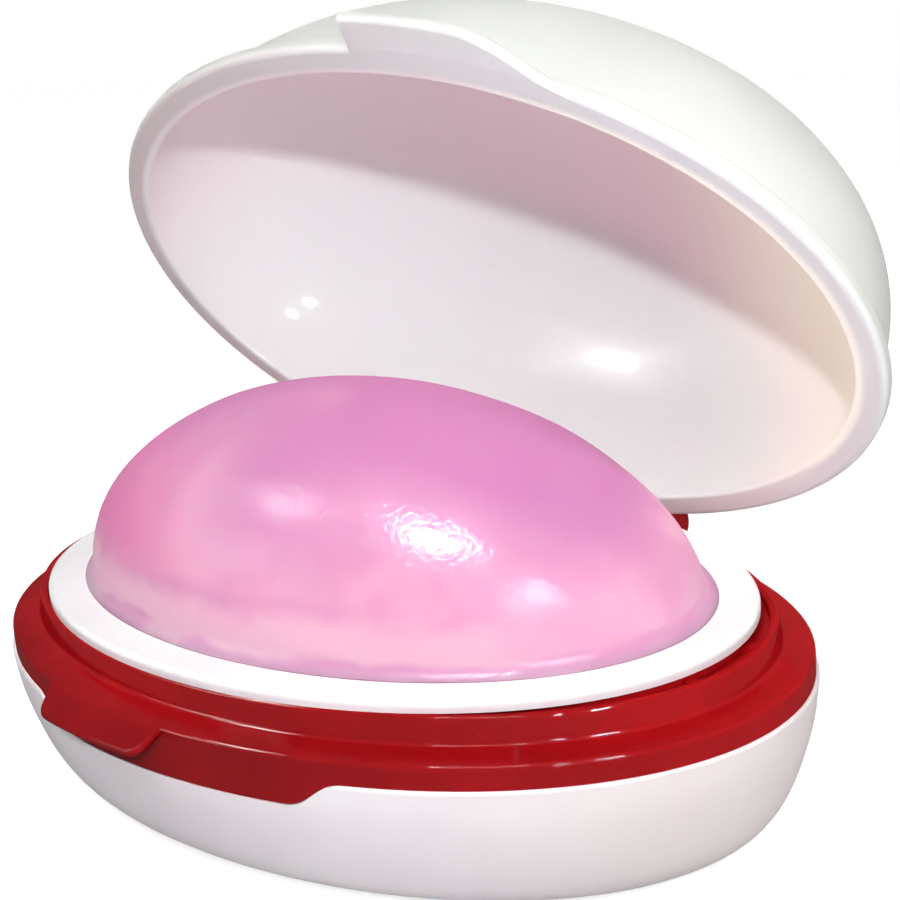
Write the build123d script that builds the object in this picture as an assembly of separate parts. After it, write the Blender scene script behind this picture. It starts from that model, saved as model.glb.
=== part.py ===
from build123d import *
from math import cos, pi, radians, sin, sqrt
import os

# A finger moistener: an oval bowl with a stepped collar, a gel pad in a lift-out cup, and a domed lid on a hinge.
# Millimetres. The upper pieces are drawn in the rim's own frame, with z = 0 on the bowl's rim and the front
# towards -Y. They then stand on the bowl, whose rim leans a little forward. Each oval has a half length along X
# and a half width along Y, and an inset is how far an oval lies inside the bowl's rim.

# Bowl
RIM_A = 40.0
RIM_B = 28.45
RIM_DROP = 14.5
RIM_TILT = 4.6
BOWL_LEAN = 5.2
BOWL_CORNER = 6.6
BOWL_WALL = 2.0
BOWL_FLOOR = 2.2
BOWL_EDGE = 0.25

# Dip in the bowl's front rim, filled by the collar's apron
DIP_HALF = 18.0
DIP_SHOULDER = 5.0
DIP_DEPTH = 2.1
DIP_GAP = 0.06

# Collar: an outer band, a sloping seat for the lid, a raised lip with a channel behind it, and a spigot in the bowl
BAND_INSET = 0.3
BAND_HEIGHT = 1.9
SEAT_INSET = 2.9
SEAT_RISE = 0.5
LIP_INSET = 3.2
LIP_WALL = 0.75
LIP_HEIGHT = 2.15
LIP_ROUND = 0.3
CHANNEL_WIDTH = 1.35
CHANNEL_DEPTH = 0.8
RIB_PLACE = 4.0
RIB_WIDTH = 0.9
RIB_HEIGHT = 0.4
COLLAR_ROUND = 0.35
MOUTH_INSET_X = 7.95
MOUTH_INSET_Y = 6.3
SPIGOT_DEPTH = 3.2
SPIGOT_GAP = 0.35
SPIGOT_WALL = 1.4
SPIGOT_DRAFT = 0.3
COLLAR_FLOOR = 1.2

# Thumb ledge on the collar and brim on the lid, side by side at the front
TAB_CUT = 2.1
TAB_SPLIT = 1.2
LEDGE_SHOULDER = 11.0
LEDGE_END = 15.0
LEDGE_REACH = 2.4
LEDGE_FALL = 1.1
LEDGE_LIFT = 0.03
LEDGE_THICK = 0.8
LEDGE_CORNER = 1.2
LEDGE_ROUND = 0.35
BRIM_SHOULDER = 13.5
BRIM_END = 23.2
BRIM_REACH = 2.8
BRIM_RISE = 0.2
BRIM_THICK = 1.1
BRIM_CORNER = 0.4
BRIM_ROUND = 0.45
TAB_ROOT = 1.3

# Gel cup, and the gel pad that fills it
FLANGE_OVER = 0.3
FLANGE_THICK = 0.95
FLANGE_ROUND = 0.4
CUP_GAP = 0.45
CUP_WALL = 1.2
CUP_TAPER = 2.5
CUP_FLOOR_GAP = 4.0
GEL_GAP = 0.05
GEL_SEAT = 0.4
GEL_HEIGHT = 17.4
GEL_LEAN = 2.1
GEL_SKIRT = 0.95
GEL_SKIRT_RISE = 1.3

# Lid: a rim bead with a dome stepped in from it
LID_OVER_X = 1.1
LID_OVER_Y = -0.15
LIP_GAP_X = 1.6
LIP_GAP_Y = 0.35
LID_GAP = 0.2
BEAD_HEIGHT = 1.4
BEAD_ROUND = 0.6
BEAD_TOP_ROUND = 0.3
LID_EDGE = 0.3
DOME_STEP_X = 1.4
DOME_STEP_Y = 1.8
LID_WALL = 1.8
GEL_CLEAR = 1.8
LID_OPEN = 57.7

# Hinge at the back of the collar
HINGE_OUT = 0.42
HINGE_RISE = 0.26
PIN_R = 0.9
PIN_GAP = 0.05
KNUCKLE_WALL = 1.0
KNUCKLE_GAP = 0.2
BARREL_LENGTH = 13.2
LUG_WIDTH = 4.6
LUG_SIDE_GAP = 0.15
LUG_REACH = 2.8
LUG_CAP = 1.2
LUG_LIFT = 0.15

# Heights above the rim, and places, that follow from the sizes
SEAT_TOP = BAND_HEIGHT + SEAT_RISE
LIP_TOP = SEAT_TOP + LIP_HEIGHT
CHANNEL_FLOOR = LIP_TOP - CHANNEL_DEPTH
FLANGE_TOP = LIP_TOP + FLANGE_THICK
GEL_TOP = FLANGE_TOP + GEL_HEIGHT
LID_BASE = SEAT_TOP + LID_GAP
LID_A = RIM_A + LID_OVER_X
LID_B = RIM_B + LID_OVER_Y
DOME_RISE = GEL_TOP - LID_BASE + GEL_CLEAR + LID_WALL
HINGE_Y = RIM_B + HINGE_OUT
HINGE_Z = LID_BASE + HINGE_RISE
KNUCKLE_R = PIN_R + KNUCKLE_WALL
BARREL_HALF = BARREL_LENGTH / 2
LUG_START = BARREL_HALF + LUG_SIDE_GAP
LUG_END = LUG_START + LUG_WIDTH
SPIGOT_INSET = BOWL_WALL + SPIGOT_GAP
CHANNEL_INSET = LIP_INSET + LIP_WALL
CUP_A = RIM_A - MOUTH_INSET_X - CUP_GAP
CUP_B = RIM_B - MOUTH_INSET_Y - CUP_GAP
CUP_LOW = BOWL_FLOOR - RIM_DROP + CUP_FLOOR_GAP
FAR = 4 * RIM_A

# How full the two domes are: powers of the shares of the radius and of the height
GEL_POWERS = (2.0, 1.82)
LID_POWERS = (2.5, 2.13)


# Shared shapes
def oval(a, b, z):
    return Location((0, 0, z)) * Ellipse(a, b)


def inset_oval(inset, z):
    return oval(RIM_A - inset, RIM_B - inset, z)


def stack(*sections):
    return loft([s.face() for s in sections], ruled=True)


def prism(a, b, low=-FAR, high=FAR):
    return stack(oval(a, b, low), oval(a, b, high))


# Edges of a solid along a level oval of half length a
def oval_edges(solid, a, z):
    near = 0.001
    picked = []
    for edge in solid.edges():
        box = edge.bounding_box()
        level = abs(box.min.Z - z) < near and abs(box.max.Z - z) < near
        if level and abs(box.max.X - a) < near:
            picked.append(edge)
    return picked


# A flat face inside a closed run of lines
def face_in(*lines):
    edges = []
    for line in lines:
        edges += line.edges()
    return make_face(edges)


# A dome on a level oval foot, leaning forward by lean at its top
def dome(a, b, z, height, powers, lean=0.0):
    steps = 16
    points = []
    for i in range(steps):
        turn = pi / 2 * i / steps
        points.append((a * cos(turn) ** (2 / powers[0]), height * sin(turn) ** (2 / powers[1])))
    curve = Spline(*points, (0, height), tangents=[(0, 1), (-1, 0)])
    round_dome = revolve(Plane.XZ * face_in(curve, Polyline((0, height), (0, 0), (a, 0))), Axis.Z)
    to_oval = Matrix([[1, 0, 0, 0], [0, b / a, -lean / height, 0], [0, 0, 1, 0]])
    return Location((0, 0, z)) * round_dome.transform_geometry(to_oval)


# Stands a piece drawn in the rim's frame on the bowl: share 1 is the rim, share 0 the flat bottom
def stand(share=1.0):
    lift = RIM_DROP * share
    lean = radians(RIM_TILT)
    return Location((0, -lift * sin(lean), lift * cos(lean)), (RIM_TILT * share, 0, 0))


# A cylinder about the hinge's axis, from x0 to x1
def hinge_round(radius, x0, x1):
    return Location(((x0 + x1) / 2, HINGE_Y, HINGE_Z), (0, 90, 0)) * Cylinder(radius, abs(x1 - x0))


# Plan outline of a thumb tab: a straight cut near the middle, an outer edge along the oval, a soft shoulder
def tab_plan(side, cut, shoulder_x, end_x, a, b, reach, corner):
    def edge_y(x, out):
        return -(b + out) * sqrt(1 - (x / (a + out)) ** 2)

    steps = 6
    xs = [cut + (shoulder_x - cut) * i / steps for i in range(steps + 1)]
    edge = Spline(*[(side * x, edge_y(x, reach)) for x in xs])
    end_y = edge_y(end_x, -BAND_INSET)
    along_rim = (side, -end_x / end_y * ((b - BAND_INSET) / (a - BAND_INSET)) ** 2)
    shoulder = Spline(edge @ 1, (side * end_x, end_y), tangents=[edge % 1, along_rim])
    back_y = -b / 2
    back = Polyline((side * end_x, end_y), (side * end_x, back_y), (side * cut, back_y), edge @ 0)
    plan = face_in(edge, shoulder, back)
    tip = plan.vertices().sort_by_distance((side * cut, edge_y(cut, reach), 0))[0]
    return fillet(tip, corner)


# A ring round an oval whose first face passes z at the oval and climbs, or falls, by rise over its reach
def flared_ring(a, b, reach, z, rise, thick):
    way = 1 if rise > 0 else -1
    slope = rise / reach

    def cone(shift):
        near = oval(a - TAB_ROOT, b - TAB_ROOT, z - slope * TAB_ROOT + shift)
        far_z = z + slope * (reach + TAB_ROOT) + shift
        far_a = a + reach + TAB_ROOT
        far_b = b + reach + TAB_ROOT
        return stack(near, oval(far_a, far_b, far_z), oval(far_a, far_b, far_z + way * FAR))

    return cone(0) - cone(way * thick) - prism(a - TAB_ROOT, b - TAB_ROOT)


# Rounds the edges of a tab that stand out of an oval, apart from its upright ones
def soften(tab, a, b, radius):
    picked = []
    for edge in tab.edges():
        spot = edge @ 0.5
        size = edge.bounding_box().size
        if (spot.X / a) ** 2 + (spot.Y / b) ** 2 > 1 and max(size.X, size.Y) > radius / 10:
            picked.append(edge)
    return fillet(picked, radius)


# The dip in the front rim as a block along Y, with soft shoulders
def front_dip(gap):
    half = DIP_HALF + gap
    flat = half - DIP_SHOULDER
    low = -DIP_DEPTH - gap
    right = Spline((flat, low), (half, 0), tangents=[(1, 0), (1, 0)])
    left = Spline((-half, 0), (-flat, low), tangents=[(1, 0), (1, 0)])
    top = Polyline((half, 0), (half, BAND_HEIGHT / 2), (-half, BAND_HEIGHT / 2), (-half, 0))
    outline = face_in(left, Line((-flat, low), (flat, low)), right, top)
    return extrude(Plane.XZ.offset(RIM_B / 2) * outline, RIM_B)


# Bowl: a loft of ovals, with a leaning wall and a round corner at the foot, while the rim's own tilt fades out
def bowl_scale(share):
    depth = 1 - share
    return 1 - (BOWL_LEAN * depth**1.6 + BOWL_CORNER * depth**9) / RIM_A


def bowl(wall, low):
    rings = 9
    sections = []
    for i in range(rings):
        share = low + (1 - low) * (1 - i / (rings - 1)) ** 1.6
        scale = bowl_scale(share)
        sections.append((stand(share) * Ellipse(RIM_A * scale - wall, RIM_B * scale - wall)).face())
    return loft(sections)


base_shell = bowl(0, 0)
base_shell = fillet(base_shell.edges().sort_by(Axis.Z)[-1], BOWL_EDGE)
base_shell -= bowl(BOWL_WALL, BOWL_FLOOR / RIM_DROP)
base_shell -= stand() * front_dip(DIP_GAP)

# Collar: the stepped ring
collar = stack(
    inset_oval(BAND_INSET, 0),
    inset_oval(BAND_INSET, BAND_HEIGHT),
    inset_oval(SEAT_INSET, SEAT_TOP),
    inset_oval(LIP_INSET, LIP_TOP),
)
band_edge = oval_edges(collar, RIM_A - BAND_INSET, BAND_HEIGHT)
collar = fillet(band_edge + oval_edges(collar, RIM_A - SEAT_INSET, SEAT_TOP), COLLAR_ROUND)
collar = fillet(oval_edges(collar, RIM_A - LIP_INSET, LIP_TOP), LIP_ROUND)

# Collar: the channel behind the lip, crossed by low ribs near its two ends
channel_inner = CHANNEL_INSET + CHANNEL_WIDTH
channel = prism(RIM_A - CHANNEL_INSET, RIM_B - CHANNEL_INSET, CHANNEL_FLOOR)
channel -= prism(RIM_A - channel_inner, RIM_B - channel_inner)
for y in (-RIB_PLACE, RIB_PLACE):
    channel -= Location((0, y, CHANNEL_FLOOR)) * Box(2 * RIM_A, RIB_WIDTH, 2 * RIB_HEIGHT)
collar -= channel
collar = fillet(oval_edges(collar, RIM_A - CHANNEL_INSET, LIP_TOP), LIP_ROUND)

# Collar: hinge lugs, with room for the lid's barrel between them; the pin goes in from the left, the right is blind
heel = (HINGE_Y + KNUCKLE_R * cos(radians(35)), HINGE_Z - KNUCKLE_R * sin(radians(35)))
front = HINGE_Y - LUG_REACH
foot = (HINGE_Y - PIN_R, LUG_LIFT)
web = Polyline((front, LUG_LIFT), (front, BAND_HEIGHT), (HINGE_Y, HINGE_Z), heel, foot, close=True)
lugs = []
for x0 in (-LUG_END, LUG_START):
    lugs.append(hinge_round(KNUCKLE_R, x0, x0 + LUG_WIDTH))
    lugs.append(Location((x0, 0, 0)) * extrude(Plane.YZ * face_in(web), LUG_WIDTH))
collar += lugs
collar -= hinge_round(KNUCKLE_R + KNUCKLE_GAP, -LUG_START, LUG_START)
collar -= hinge_round(PIN_R, -FAR, LUG_END - LUG_CAP)

# Collar: the spigot in the bowl, and the mouth
collar += stack(inset_oval(SPIGOT_INSET + SPIGOT_DRAFT, -SPIGOT_DEPTH), inset_oval(SPIGOT_INSET, 0))
collar -= prism(RIM_A - MOUTH_INSET_X, RIM_B - MOUTH_INSET_Y)
spigot_inner = SPIGOT_INSET + SPIGOT_WALL
collar -= prism(RIM_A - spigot_inner, RIM_B - spigot_inner, -FAR, CHANNEL_FLOOR - COLLAR_FLOOR)

# Collar: the apron in the bowl's front dip, and the thumb ledge above its left half
apron_inner = SPIGOT_INSET + SPIGOT_DRAFT + SPIGOT_WALL / 2
apron = front_dip(0) & prism(RIM_A - BAND_INSET, RIM_B - BAND_INSET)
collar += apron - prism(RIM_A - apron_inner, RIM_B - apron_inner)
band_a = RIM_A - BAND_INSET
band_b = RIM_B - BAND_INSET
ledge_cut = TAB_SPLIT / 2 - TAB_CUT
ledge_plan = tab_plan(-1, ledge_cut, LEDGE_SHOULDER, LEDGE_END, RIM_A, RIM_B, LEDGE_REACH, LEDGE_CORNER)
ledge_top = BAND_HEIGHT + LEDGE_LIFT
ledge = flared_ring(band_a, band_b, BAND_INSET + LEDGE_REACH, ledge_top, -LEDGE_FALL, LEDGE_THICK)
ledge = soften(ledge & extrude(ledge_plan, FAR, both=True), RIM_A, RIM_B, LEDGE_ROUND)
seat_slope = SEAT_RISE / (SEAT_INSET - BAND_INSET)
ledge &= stack(
    oval(band_a + LEDGE_END, band_b + LEDGE_END, ledge_top - FAR),
    oval(band_a + LEDGE_END, band_b + LEDGE_END, ledge_top - seat_slope * LEDGE_END),
    oval(RIM_A - SEAT_INSET, RIM_B - SEAT_INSET, SEAT_TOP + LEDGE_LIFT),
)
collar += ledge

# Gel cup: a flange on the collar's lip, a tapered bowl below it
flange_a = RIM_A - channel_inner + FLANGE_OVER
flange_b = RIM_B - LIP_INSET
gel_cup = prism(flange_a, flange_b, LIP_TOP, FLANGE_TOP)
gel_cup = fillet(oval_edges(gel_cup, flange_a, FLANGE_TOP), FLANGE_ROUND)
gel_cup += stack(oval(CUP_A - CUP_TAPER, CUP_B - CUP_TAPER, CUP_LOW), oval(CUP_A, CUP_B, LIP_TOP))
cup_in_a = CUP_A - CUP_WALL
cup_in_b = CUP_B - CUP_WALL
cup_floor = CUP_LOW + CUP_WALL
gel_cup -= stack(oval(cup_in_a - CUP_TAPER, cup_in_b - CUP_TAPER, cup_floor), oval(cup_in_a, cup_in_b, FLANGE_TOP))

# Gel pad: a dome with a flared skirt on the flange, and a plug that fills the cup
gel_a = cup_in_a + GEL_SEAT
gel_b = cup_in_b + GEL_SEAT
gel_pad = dome(gel_a, gel_b, FLANGE_TOP, GEL_HEIGHT, GEL_POWERS, GEL_LEAN)
gel_pad += stack(
    oval(gel_a + GEL_SKIRT, gel_b + GEL_SKIRT, FLANGE_TOP),
    oval(gel_a + GEL_SKIRT * 0.7, gel_b + GEL_SKIRT * 0.7, FLANGE_TOP + GEL_SKIRT_RISE / 3),
    oval(gel_a - GEL_SEAT, gel_b - GEL_SEAT, FLANGE_TOP + GEL_SKIRT_RISE),
)
plug_a = cup_in_a - GEL_GAP
plug_b = cup_in_b - GEL_GAP
gel_pad += stack(oval(plug_a - CUP_TAPER, plug_b - CUP_TAPER, cup_floor), oval(plug_a, plug_b, FLANGE_TOP))

# Lid, drawn closed
bead_top = LID_BASE + BEAD_HEIGHT
lid = prism(LID_A, LID_B, LID_BASE, bead_top)
lid = fillet(oval_edges(lid, LID_A, LID_BASE), BEAD_ROUND)
lid = fillet(oval_edges(lid, LID_A, bead_top), BEAD_TOP_ROUND)
lid += dome(LID_A - DOME_STEP_X, LID_B - DOME_STEP_Y, LID_BASE, DOME_RISE, LID_POWERS)
lid += hinge_round(KNUCKLE_R, -BARREL_HALF, BARREL_HALF)
brim_cut = TAB_CUT + TAB_SPLIT / 2
brim_plan = tab_plan(1, brim_cut, BRIM_SHOULDER, BRIM_END, LID_A, LID_B, BRIM_REACH, BRIM_CORNER)
brim = flared_ring(LID_A, LID_B, BRIM_REACH, LID_BASE, BRIM_RISE, BRIM_THICK)
brim = soften(brim & extrude(brim_plan, FAR, both=True), LID_A, LID_B, BRIM_ROUND)
lid += brim & prism(FAR, FAR, LID_BASE)
lid_in_a = RIM_A - LIP_INSET + LIP_GAP_X
lid_in_b = RIM_B - LIP_INSET + LIP_GAP_Y
lid -= dome(lid_in_a, lid_in_b, LID_BASE, DOME_RISE - LID_WALL, LID_POWERS)
lid = fillet(oval_edges(lid, lid_in_a, LID_BASE), LID_EDGE)
lid -= hinge_round(PIN_R + PIN_GAP, -LUG_START, LUG_START)
for x0 in (-LUG_END - LUG_SIDE_GAP, BARREL_HALF):
    lid -= hinge_round(KNUCKLE_R + KNUCKLE_GAP, x0, x0 + LUG_WIDTH + 2 * LUG_SIDE_GAP)

hinge = Location((0, HINGE_Y, HINGE_Z))
opened = hinge * Location((0, 0, 0), (-LID_OPEN, 0, 0)) * hinge.inverse()

pieces = {
    "base_shell": base_shell,
    "collar": stand() * collar,
    "gel_cup": stand() * gel_cup,
    "gel_pad": stand() * gel_pad,
    "lid_shell": stand() * opened * lid,
    "hinge_pin": stand() * hinge_round(PIN_R, -LUG_END, LUG_END - LUG_CAP),
}

os.makedirs("parts", exist_ok=True)
for node, shape in pieces.items():
    solids = shape.solids()
    assert len(solids) == 1, f"{node} is in {len(solids)} solids"
    export_step(solids[0], f"parts/{node}.step")
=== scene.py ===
"""A finger moistener with its lid open: white bowl, cup and lid, a red collar, and a pink gel pad."""

from math import cos, pi, radians, sin

import bmesh
import bpy
from mathutils import Matrix, Vector, noise


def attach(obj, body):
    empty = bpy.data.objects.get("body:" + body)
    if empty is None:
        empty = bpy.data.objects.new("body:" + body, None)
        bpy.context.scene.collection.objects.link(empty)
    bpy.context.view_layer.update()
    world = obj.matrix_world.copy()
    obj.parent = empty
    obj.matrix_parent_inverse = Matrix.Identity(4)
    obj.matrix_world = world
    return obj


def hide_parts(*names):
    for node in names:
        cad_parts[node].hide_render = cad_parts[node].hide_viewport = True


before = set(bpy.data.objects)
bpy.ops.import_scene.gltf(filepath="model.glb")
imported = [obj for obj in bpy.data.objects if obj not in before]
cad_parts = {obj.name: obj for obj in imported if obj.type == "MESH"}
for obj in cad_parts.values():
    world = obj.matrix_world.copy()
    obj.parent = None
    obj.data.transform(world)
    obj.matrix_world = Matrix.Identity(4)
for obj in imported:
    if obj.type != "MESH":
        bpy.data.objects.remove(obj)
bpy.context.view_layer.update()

MM = 0.001

# The rim's own frame: z = 0 on the bowl's rim, which leans a little forward
RIM_TILT = radians(4.6)
RIM_DROP = 14.5 * MM
RIM_PLACE = Vector((0, -RIM_DROP * sin(RIM_TILT), RIM_DROP * cos(RIM_TILT)))
RIM_FRAME = Matrix.Translation(RIM_PLACE) @ Matrix.Rotation(RIM_TILT, 4, "X")

# The lid's frame: as if closed on the rim, then swung open about the hinge
LID_OPEN = radians(57.7)
HINGE = Vector((0, 28.87, 2.86)) * MM
OPENED = Matrix.Translation(HINGE) @ Matrix.Rotation(-LID_OPEN, 4, "X") @ Matrix.Translation(-HINGE)
LID_FRAME = RIM_FRAME @ OPENED

# Heights in the rim's frame
FLANGE_TOP = 5.5 * MM
CUP_FLOOR = -7.1 * MM

# Inside of the lid, a dome on an oval
LID_BASE = 2.6 * MM
LID_INNER_A = 38.4 * MM
LID_INNER_B = 25.6 * MM
LID_INNER_RISE = 22.1 * MM
LID_PLAN_POWER = 2.5
LID_RISE_POWER = 2.13

# Gel pad: a dome with a flared skirt, on a plug that fills the cup
GEL_A = 30.8 * MM
GEL_B = 20.9 * MM
GEL_RISE = 17.4 * MM
GEL_POWER = 1.82
GEL_LEAN = 2.1 * MM
SKIRT_OUT = 0.95 * MM
SKIRT_RISE = 1.3 * MM
PLUG_A = 30.35 * MM
PLUG_B = 20.45 * MM
PLUG_TAPER = 2.5 * MM
PLUG_CORNER = 1.2 * MM
GEL_AROUND = 128
GEL_RINGS = 56
GEL_WAVE = 0.12 * MM
GEL_WAVE_LENGTH = 9 * MM
GEL_WAVE_START = 4 * MM

# The camera, as it stood for the photograph
CAMERA_PLACE = (0.10893, -0.118093, 0.065718)
CAMERA_TURN = (radians(77.623), radians(1.337), radians(40.646))
CAMERA_LENS = 75.129

# What the lamps are set towards, and how far most of them stand
BOWL_MIDDLE = Vector((0, 0, 25)) * MM
LID_MIDDLE = Vector((0, 15, 45)) * MM
FAR = 0.5
NEAR = 0.27

# Surroundings
AMBIENT = 0.07
FLOOR_HALF = 3.0


class Value:
    """A shader socket that takes part in sums; each operator adds a Math node."""

    def __init__(self, tree, socket):
        self.tree = tree
        self.socket = socket

    def math(self, operation, *terms):
        return add_node(self.tree, "ShaderNodeMath", {"operation": operation}, dict(enumerate(terms)))

    def __add__(self, other):
        return self.math("ADD", self, other)

    def __radd__(self, other):
        return self.math("ADD", other, self)

    def __sub__(self, other):
        return self.math("SUBTRACT", self, other)

    def __rsub__(self, other):
        return self.math("SUBTRACT", other, self)

    def __mul__(self, other):
        return self.math("MULTIPLY", self, other)

    def __rmul__(self, other):
        return self.math("MULTIPLY", other, self)

    def __truediv__(self, other):
        return self.math("DIVIDE", self, other)

    def __pow__(self, other):
        return self.math("POWER", self, other)

    def at_least(self, other):
        return self.math("MAXIMUM", self, other)


def add_node(tree, kind, settings=None, inputs=None, output=0):
    """Adds one node: its settings first, then numbers or links for its sockets; gives back one output."""
    node = tree.nodes.new(kind)
    for name, setting in (settings or {}).items():
        setattr(node, name, setting)
    for name, value in (inputs or {}).items():
        if isinstance(value, Value):
            tree.links.new(value.socket, node.inputs[name])
        elif hasattr(node.inputs[name].default_value, "__len__") and len(value) == 3:
            size = len(node.inputs[name].default_value)
            node.inputs[name].default_value = (*value, 1)[:size]
        else:
            node.inputs[name].default_value = value
    return Value(tree, node.outputs[output])


def linear(red, green, blue):
    """A colour given as 0 to 255 screen values, as the shader's linear values."""
    def one(screen):
        share = screen / 255
        return share / 12.92 if share <= 0.04045 else ((share + 0.055) / 1.055) ** 2.4

    return one(red), one(green), one(blue)


class Finish:
    """A material in the making, with its Principled shader and the nodes that feed it."""

    def __init__(self, name, **fixed):
        self.material = bpy.data.materials.new(name)
        self.material.use_nodes = True
        self.tree = self.material.node_tree
        self.shader = self.tree.nodes["Principled BSDF"]
        for socket, value in fixed.items():
            self.feed(socket.replace("_", " "), value)

    def node(self, kind, settings=None, inputs=None, output=0):
        return add_node(self.tree, kind, settings, inputs, output)

    def feed(self, socket, value):
        if isinstance(value, Value):
            self.tree.links.new(value.socket, self.shader.inputs[socket])
        else:
            self.shader.inputs[socket].default_value = value

    def place(self, placed=Matrix.Identity(4)):
        """Where a point lies in a frame that stands at placed."""
        back = placed.inverted()
        spot = self.node("ShaderNodeTexCoord", output=3)
        turn = {"Vector": spot, "Location": tuple(back.to_translation()), "Rotation": tuple(back.to_euler())}
        return self.node("ShaderNodeMapping", None, turn)

    def axes(self, vector):
        return [self.node("ShaderNodeSeparateXYZ", None, {0: vector}, i) for i in range(3)]

    def noise(self, vector, size, detail=3.0, rough=0.5, twist=0.0):
        inputs = {"Vector": vector, "Scale": 1 / size, "Detail": detail}
        inputs.update({"Roughness": rough, "Distortion": twist})
        return self.node("ShaderNodeTexNoise", None, inputs)

    def span(self, value, low, high, start=0.0, end=1.0):
        """value from low to high, as a smooth run from start to end."""
        inputs = {0: value, 1: low, 2: high, 3: start, 4: end}
        return self.node("ShaderNodeMapRange", {"interpolation_type": "SMOOTHSTEP"}, inputs)

    def mix(self, share, first, second):
        inputs = {0: share, 6: first, 7: second}
        return self.node("ShaderNodeMix", {"data_type": "RGBA"}, inputs, 2)

    def bump(self, height, depth, under=None):
        inputs = {"Height": height, "Distance": depth}
        if under:
            inputs["Normal"] = under
        return self.node("ShaderNodeBump", None, inputs)

    def specked(self, spot, colour, share, speck):
        """colour with fine specks, which go a share of the way to their own colour."""
        specks = self.span(self.noise(spot, 0.35 * MM, 2), 0.7, 0.78)
        return self.mix(specks * share, colour, linear(*speck))

    def mould_skin(self, spot, under=None):
        """The faint skin that a mould leaves on plastic."""
        return self.bump(self.noise(spot, 0.5 * MM, 3), 0.006 * MM, under)

    def handled(self, spot, gloss):
        """Roughness that varies a little where the plastic has been handled."""
        self.feed("Roughness", gloss + self.noise(spot, 5 * MM, 4) * 0.1)

    def film(self, share, roughness, normal):
        """A thin wet film over everything, which mirrors the same share from every side."""
        look = {"Metallic": 1.0, "Base Color": (1, 1, 1), "Roughness": roughness, "Normal": normal}
        wet = self.node("ShaderNodeBsdfPrincipled", None, look)
        body = Value(self.tree, self.shader.outputs[0])
        both = self.node("ShaderNodeMixShader", None, {0: share, 1: body, 2: wet})
        self.tree.links.new(both.socket, self.tree.nodes["Material Output"].inputs["Surface"])


# Finishes: the plastics shine through a thin coat alone, so that their edges keep their colour
def plastic(name, gloss_spread, **fixed):
    return Finish(name, Specular_IOR_Level=0.0, Coat_IOR=2.2, Coat_Roughness=gloss_spread, **fixed)


def bowl_white():
    """Glossy white plastic: two near whites in slow clouds, with painted shade darker and warmer towards the
    bowl's tips.
    """
    made = plastic("bowl white", 0.06)
    spot = made.place()
    x, y, z = made.axes(spot)
    clouds = made.noise(spot, 14 * MM, 2)
    colour = made.mix(made.span(clouds, 0.35, 0.65), linear(245, 239, 243), linear(241, 233, 238))
    # Painted shade: the bowl darker and warmer towards both tips.
    end_shade = made.span(x * x, (20 * MM) ** 2, (38 * MM) ** 2)
    colour = made.mix(end_shade * 0.7, colour, linear(230, 219, 217))
    made.feed("Base Color", made.specked(spot, colour, 0.12, (205, 198, 196)))
    made.handled(spot, 0.16)
    made.feed("Coat Weight", 0.015 + clouds * 0.02)
    made.feed("Normal", made.mould_skin(spot, made.bump(clouds, 0.05 * MM)))
    return made


def lid_white():
    """The lid's thin white plastic: inside, an emission glow paints light, warmest at the right end, standing
    in for light through its wall.
    """
    made = plastic("lid white", 0.09, Emission_Strength=1.0)
    spot = made.place()
    x, y, z = made.axes(made.place(LID_FRAME))
    plan = ((x / LID_INNER_A) ** 2 + (y / LID_INNER_B) ** 2) ** (LID_PLAN_POWER / 2)
    rise = (z - LID_BASE) / LID_INNER_RISE
    inside = 1 - made.span(plan + rise.at_least(0) ** LID_RISE_POWER, 1.02, 1.08)
    clouds = made.noise(spot, 16 * MM, 2)

    # Painted shade and light: the outside painted greyer and the inside a cooler, brighter white, though both
    # are one plastic.
    outer = made.mix(made.span(clouds, 0.35, 0.65), linear(222, 223, 218), linear(218, 219, 214))
    # Painted light and shade: the rim face darker and warmer at the left, near white at the right.
    rim = made.mix(made.span(x, -32 * MM, 25 * MM), linear(234, 225, 224), linear(252, 254, 255))
    outer = made.mix(made.span(z, LID_BASE + 0.1 * MM, LID_BASE + 0.7 * MM), rim, outer)
    inner = made.mix(made.span(clouds, 0.3, 0.7), linear(250, 255, 255), linear(246, 253, 253))
    colour = made.mix(inside, outer, inner)
    # Painted shade: the inside's front half, where the rim's shadow falls, tinted pink except near the left
    # tip.
    front = inside * made.span(y - x * 0.35, 15 * MM, 7 * MM)
    shade_pink = front * made.span(x, -34 * MM, -18 * MM) * 0.4
    colour = made.mix(shade_pink, colour, linear(246, 234, 242))
    made.feed("Base Color", made.specked(spot, colour, 0.1, (206, 196, 196)))

    # Painted light: an emission glow, pink in the shaded front of the inside and warm at its right end.
    pink_share = front * made.span(x, -24 * MM, 16 * MM, 0.5, 1.2)
    pink_glow = made.mix(pink_share, (0, 0, 0), (0.12, 0.045, 0.055))
    end = inside * made.span(x, 4 * MM, 28 * MM) * made.span(y, 25 * MM, 12 * MM)
    made.feed("Emission Color", made.mix(end, pink_glow, (0.31, 0.3, 0.17)))
    made.handled(spot, 0.16)
    made.feed("Coat Weight", 0.008 + inside * 0.05)
    made.feed("Normal", made.mould_skin(spot, made.bump(clouds, 0.05 * MM)))
    return made


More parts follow.
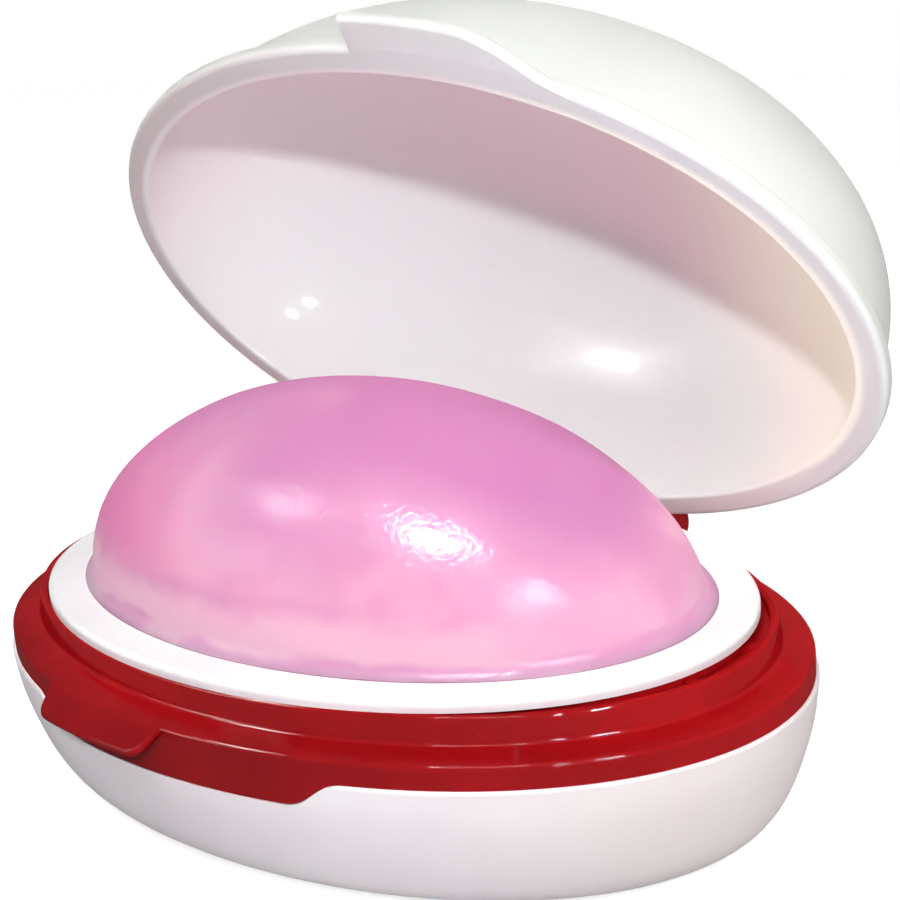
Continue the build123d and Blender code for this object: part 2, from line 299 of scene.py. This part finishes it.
def cup_white():
    """The cup's satin white, with painted shade: greyer towards its tips and a pinker grey down the flange's
    side.
    """
    made = plastic("cup white", 0.12)
    spot = made.place(RIM_FRAME)
    x, y, z = made.axes(spot)
    clouds = made.noise(spot, 14 * MM, 2)
    top = made.mix(made.span(clouds, 0.35, 0.65), linear(251, 252, 252), linear(246, 247, 247))
    # Painted shade: the flange's top greyer towards both tips.
    end_shade = made.span(x * x, (18 * MM) ** 2, (36 * MM) ** 2)
    top = made.mix(end_shade * 0.7, top, linear(234, 236, 234))
    # Painted shade: the flange's side face, below its top, a pinker grey in faint clouds.
    edge_shade = made.mix(made.noise(spot, 3 * MM, 3), linear(226, 212, 219), linear(238, 230, 236))
    colour = made.mix(made.span(z, FLANGE_TOP - 0.75 * MM, FLANGE_TOP - 0.2 * MM), edge_shade, top)
    made.feed("Base Color", made.specked(spot, colour, 0.12, (205, 198, 196)))
    made.handled(spot, 0.2)
    made.feed("Coat Weight", 0.01 + clouds * 0.02)
    made.feed("Normal", made.mould_skin(spot))
    return made


def collar_red():
    """Deep glossy red plastic, darker in clouds, with painted shade low at the front, and pale rubbed specks.
    """
    made = plastic("collar red", 0.03)
    spot = made.place(RIM_FRAME)
    x, y, z = made.axes(spot)
    clouds = made.noise(spot, 9 * MM, 3)
    colour = made.mix(made.span(clouds, 0.3, 0.7), linear(168, 17, 23), linear(150, 13, 18))
    # Painted shade: the front faces darker, on the low band left of the middle and on the right of the front.
    low_shade = made.span(x, 24 * MM, 4 * MM) * made.span(z, 2.4 * MM, 1.5 * MM)
    front_shade = low_shade * 0.5 + made.span(x, 0, 12 * MM) * 0.3
    colour = made.mix(front_shade * made.span(y, -4 * MM, -16 * MM), colour, linear(118, 9, 13))
    rubbed = made.span(made.noise(spot, 0.9 * MM, 4, 0.65), 0.66, 0.78)
    made.feed("Base Color", made.mix(rubbed * 0.3, colour, linear(205, 70, 70)))
    made.feed("Roughness", 0.12 + rubbed * 0.15 + made.noise(spot, 4 * MM, 3) * 0.08)
    made.feed("Coat Weight", 0.04 - rubbed * 0.02)
    made.feed("Normal", made.bump(made.noise(spot, 0.6 * MM, 3), 0.006 * MM, made.bump(clouds, 0.06 * MM)))
    return made


def gel_pink():
    """Clear pink gel: violet top, a pale band over a violet foot, painted shade on both flanks, and a wet
    pebbled skin.
    """
    made = Finish("gel pink", Specular_IOR_Level=0.0, Subsurface_Weight=0.55, Subsurface_Scale=6 * MM)
    made.feed("Subsurface Radius", (1.0, 0.42, 0.72))
    spot = made.place(RIM_FRAME)
    x, y, z = made.axes(spot)
    rise = (z - FLANGE_TOP) / GEL_RISE
    across = x * 0.76 + y * 0.65
    drift = made.noise(spot, 18 * MM, 1, 0.5, 0.5)
    swirl = made.noise(spot, 8 * MM, 2, 0.5, 0.8)
    colour = made.mix(made.span(swirl, 0.3, 0.7), linear(234, 174, 202), linear(227, 160, 194))

    # Painted shade: magenta along the left tip's edge and darker violet on the upper right flank.
    left = made.span(across, -12 * MM, -24 * MM) * made.span(rise, 0.12, 0.4)
    right = made.span(across, 2 * MM, 20 * MM) * made.span(rise, 0.32, 0.62)
    violet = made.span(rise * 1.2 + right * 0.3 + (drift - 0.5) * 1.2, 0.35, 1.1)
    colour = made.mix(violet, colour, linear(200, 128, 176))
    colour = made.mix(left * 0.9, colour, linear(230, 126, 178))
    colour = made.mix(right * 0.6, colour, linear(182, 116, 166))

    low = rise + (swirl - 0.5) * 0.12
    streak = made.span(low, 0.17, 0.22) * made.span(low, 0.34, 0.26)
    streak = streak * made.span(across, 4 * MM, -8 * MM) * made.span(across, -24 * MM, -16 * MM)
    colour = made.mix(streak * 0.3, colour, linear(206, 130, 182))
    band = made.span(low, 0.28, 0.14) * made.span(low, 0.03, 0.08) * made.span(across, 16 * MM, 6 * MM)
    colour = made.mix(band * 0.8, colour, linear(240, 188, 208))
    foot = made.span(low, 0.09, 0.04) * made.span(drift, 0.42, 0.54)
    colour = made.mix(foot * 0.55, colour, linear(212, 132, 182))
    made.feed("Base Color", colour)

    made.feed("Roughness", 0.2 + drift * 0.1)
    lumps = made.bump(made.noise(spot, 2.5 * MM, 2), 0.05 * MM)
    pebbles = made.bump(made.noise(spot, 0.55 * MM, 2, 0.45), 0.055 * MM, lumps)
    made.film(0.0044, 0.24 + drift * 0.06, pebbles)
    return made


def pin_steel():
    """Drawn steel with fine lines along the pin."""
    made = Finish("pin steel", Metallic=1.0)
    spot = made.node("ShaderNodeMapping", None, {"Vector": made.place(RIM_FRAME), "Scale": (0.05, 1, 1)})
    lines = made.noise(spot, 0.1 * MM, 4, 0.7)
    made.feed("Base Color", made.mix(lines, linear(168, 168, 172), linear(214, 214, 216)))
    made.feed("Roughness", 0.22 + lines * 0.2)
    made.feed("Normal", made.bump(lines, 0.004 * MM))
    return made


# Gel pad
def gel_sections():
    """Half length, half width, height and forward shift of each ring, from the plug's floor to the crown."""
    rings = []
    for share in (0.0, 0.5, 0.85, 1.0):
        inset = PLUG_TAPER + PLUG_CORNER * (1 - share)
        rise = PLUG_CORNER * (1 - (1 - share ** 2) ** 0.5)
        rings.append((PLUG_A - inset, PLUG_B - inset, CUP_FLOOR + rise, 0))
    for share in (0.35, 0.7, 0.97, 1.0):
        taper = PLUG_TAPER * (1 - share)
        rings.append((PLUG_A - taper, PLUG_B - taper, CUP_FLOOR + (FLANGE_TOP - CUP_FLOOR) * share, 0))
    for share in (0.5, 0.95):
        a = PLUG_A + (GEL_A + SKIRT_OUT - PLUG_A) * share
        b = PLUG_B + (GEL_B + SKIRT_OUT - PLUG_B) * share
        rings.append((a, b, FLANGE_TOP, 0))
    for i in range(GEL_RINGS):
        turn = pi / 2 * (i + 0.25) / GEL_RINGS
        rise = GEL_RISE * sin(turn) ** (2 / GEL_POWER)
        skirt = SKIRT_OUT * max(0, 1 - rise / SKIRT_RISE) ** 2
        shift = -GEL_LEAN * rise / GEL_RISE
        rings.append((GEL_A * cos(turn) + skirt, GEL_B * cos(turn) + skirt, FLANGE_TOP + rise, shift))
    return rings


def gel_mesh():
    """The rings joined to a closed skin, with low waves above the skirt."""
    shape = bmesh.new()
    loops = []
    for a, b, z, shift in gel_sections():
        loop = []
        for i in range(GEL_AROUND):
            turn = 2 * pi * i / GEL_AROUND
            point = Vector((a * cos(turn), b * sin(turn) + shift, z))
            free = max(0, min(1, (z - FLANGE_TOP - SKIRT_RISE) / GEL_WAVE_START))
            wave = GEL_WAVE * free * noise.noise(point / GEL_WAVE_LENGTH)
            loop.append(shape.verts.new(point * (1 + wave / GEL_B)))
        loops.append(loop)
    for low, high in zip(loops, loops[1:]):
        for i in range(GEL_AROUND):
            j = (i + 1) % GEL_AROUND
            shape.faces.new((low[i], low[j], high[j], high[i]))
    crown = shape.verts.new((0, -GEL_LEAN, FLANGE_TOP + GEL_RISE))
    for i in range(GEL_AROUND):
        shape.faces.new((loops[-1][i], loops[-1][(i + 1) % GEL_AROUND], crown))
    shape.faces.new(loops[0][::-1])
    for face in shape.faces:
        face.smooth = True
    shape.transform(RIM_FRAME)
    mesh = bpy.data.meshes.new("gel_dome")
    shape.to_mesh(mesh)
    shape.free()
    return mesh


gel = bpy.data.objects.new("gel_dome", gel_mesh())
bpy.context.scene.collection.objects.link(gel)
gel.data.materials.append(gel_pink().material)
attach(gel, "base")
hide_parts("gel_pad")

# Each CAD node gets its finish
finishes = {
    "base_shell": bowl_white(),
    "gel_cup": cup_white(),
    "lid_shell": lid_white(),
    "collar": collar_red(),
    "hinge_pin": pin_steel(),
}
for node, finish in finishes.items():
    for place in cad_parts[node].material_slots:
        place.material = finish.material

# Camera
camera = bpy.data.objects.new("camera", bpy.data.cameras.new("camera"))
bpy.context.scene.collection.objects.link(camera)
camera.location = CAMERA_PLACE
camera.rotation_euler = CAMERA_TURN
camera.data.lens = CAMERA_LENS
camera.data.sensor_width = 36
camera.data.clip_start = 0.005
bpy.context.scene.camera = camera


# Lamps and glints: each stands at an azimuth and elevation in degrees, from the front, off its target
def panel(name, azimuth, elevation, target, distance, width, height):
    light = bpy.data.lights.new(name, "AREA")
    light.shape = "RECTANGLE"
    light.size = width
    light.size_y = height
    turn, climb = radians(azimuth), radians(elevation)
    away = Vector((sin(turn) * cos(climb), -cos(turn) * cos(climb), sin(climb)))
    holder = bpy.data.objects.new(name, light)
    bpy.context.scene.collection.objects.link(holder)
    holder.location = target + away * distance
    holder.rotation_euler = away.to_track_quat("Z", "Y").to_euler()
    return holder


def lamp(name, azimuth, elevation, target, distance, width, height, level):
    """Lights without showing in gloss; level is what it adds to a white face turned to it."""
    holder = panel(name, azimuth, elevation, target, distance, width, height)
    holder.data.energy = level * pi ** 2 * distance ** 2
    holder.visible_glossy = False


def glint(name, azimuth, elevation, target, distance, width, height, brightness):
    """Shows in gloss alone; brightness is how many times brighter than white it is."""
    holder = panel(name, azimuth, elevation, target, distance, width, height)
    holder.data.energy = brightness * pi * width * height
    holder.visible_diffuse = False


lamp("key", 40, 17.4, LID_MIDDLE, NEAR, 0.013, 0.009, 0.57)
lamp("top", 18, 60, BOWL_MIDDLE, FAR, 0.13, 0.09, 0.43)
lamp("left", -45, 42, BOWL_MIDDLE, FAR, 0.1, 0.1, 0.17)
lamp("side", 112, 18, BOWL_MIDDLE, FAR, 0.1, 0.1, 0.3)
lamp("back", 200, 32, BOWL_MIDDLE, FAR, 0.2, 0.2, 0.2)

glint("spark", 47, 15, LID_MIDDLE, NEAR, 0.018, 0.01, 900)
glint("top box", 18, 60, BOWL_MIDDLE, FAR, 0.15, 0.07, 400)
glint("top strip", 18, 60, BOWL_MIDDLE, FAR, 0.15, 0.01, 2500)
glint("left box", -46, 46, BOWL_MIDDLE, FAR, 0.11, 0.08, 230)
for width, brightness in ((0.08, 60), (0.15, 18), (0.26, 8)):
    glint("low left box", -37, 16, LID_MIDDLE, FAR, width, width * 0.85, brightness)

# A louvred window on the right: six panes, seen in the gel and on the collar's edges
for i in range(6):
    glint(f"pane {i}", 62 + 4 * (i % 2), 26 + 4 * (i // 2), BOWL_MIDDLE, FAR, 0.024, 0.013, 1500)


# White surroundings: the camera, gloss and glass see plain white, and the object gets a soft level light
def seen_rays(tree):
    """1 for camera, glossy and transmission rays, 0 for the rest."""
    camera_ray, glossy, clear = [add_node(tree, "ShaderNodeLightPath", None, None, i) for i in (0, 3, 6)]
    return camera_ray.at_least(glossy.at_least(clear))


world = bpy.data.worlds.new("studio")
bpy.context.scene.world = world
world.use_nodes = True
sky = world.node_tree
background = sky.nodes["Background"]
background.inputs["Color"].default_value = (1, 1, 1, 1)
strength = AMBIENT + (1 - AMBIENT) * seen_rays(sky)
sky.links.new(strength.socket, background.inputs["Strength"])

# Floor: it keeps the object's shadow, and its glow turns white away from the object
floor_mesh = bpy.data.meshes.new("floor")
corners = [(x * FLOOR_HALF, y * FLOOR_HALF, 0) for x, y in ((-1, -1), (1, -1), (1, 1), (-1, 1))]
floor_mesh.from_pydata(corners, [], [(0, 1, 2, 3)])
floor = bpy.data.objects.new("floor", floor_mesh)
bpy.context.scene.collection.objects.link(floor)
paper = Finish("floor white", Roughness=0.9, Specular_IOR_Level=0.0, Emission_Strength=1.0)
paper.feed("Base Color", (0.5, 0.5, 0.5, 1))
x, y, z = paper.axes(paper.place())
glow = paper.span((x * x + y * y) ** 0.5, 0.1, 0.5, 0.76, 0.96)
paper.feed("Emission Color", glow * seen_rays(paper.tree))
floor.data.materials.append(paper.material)

bpy.context.scene.view_settings.view_transform = "Standard"
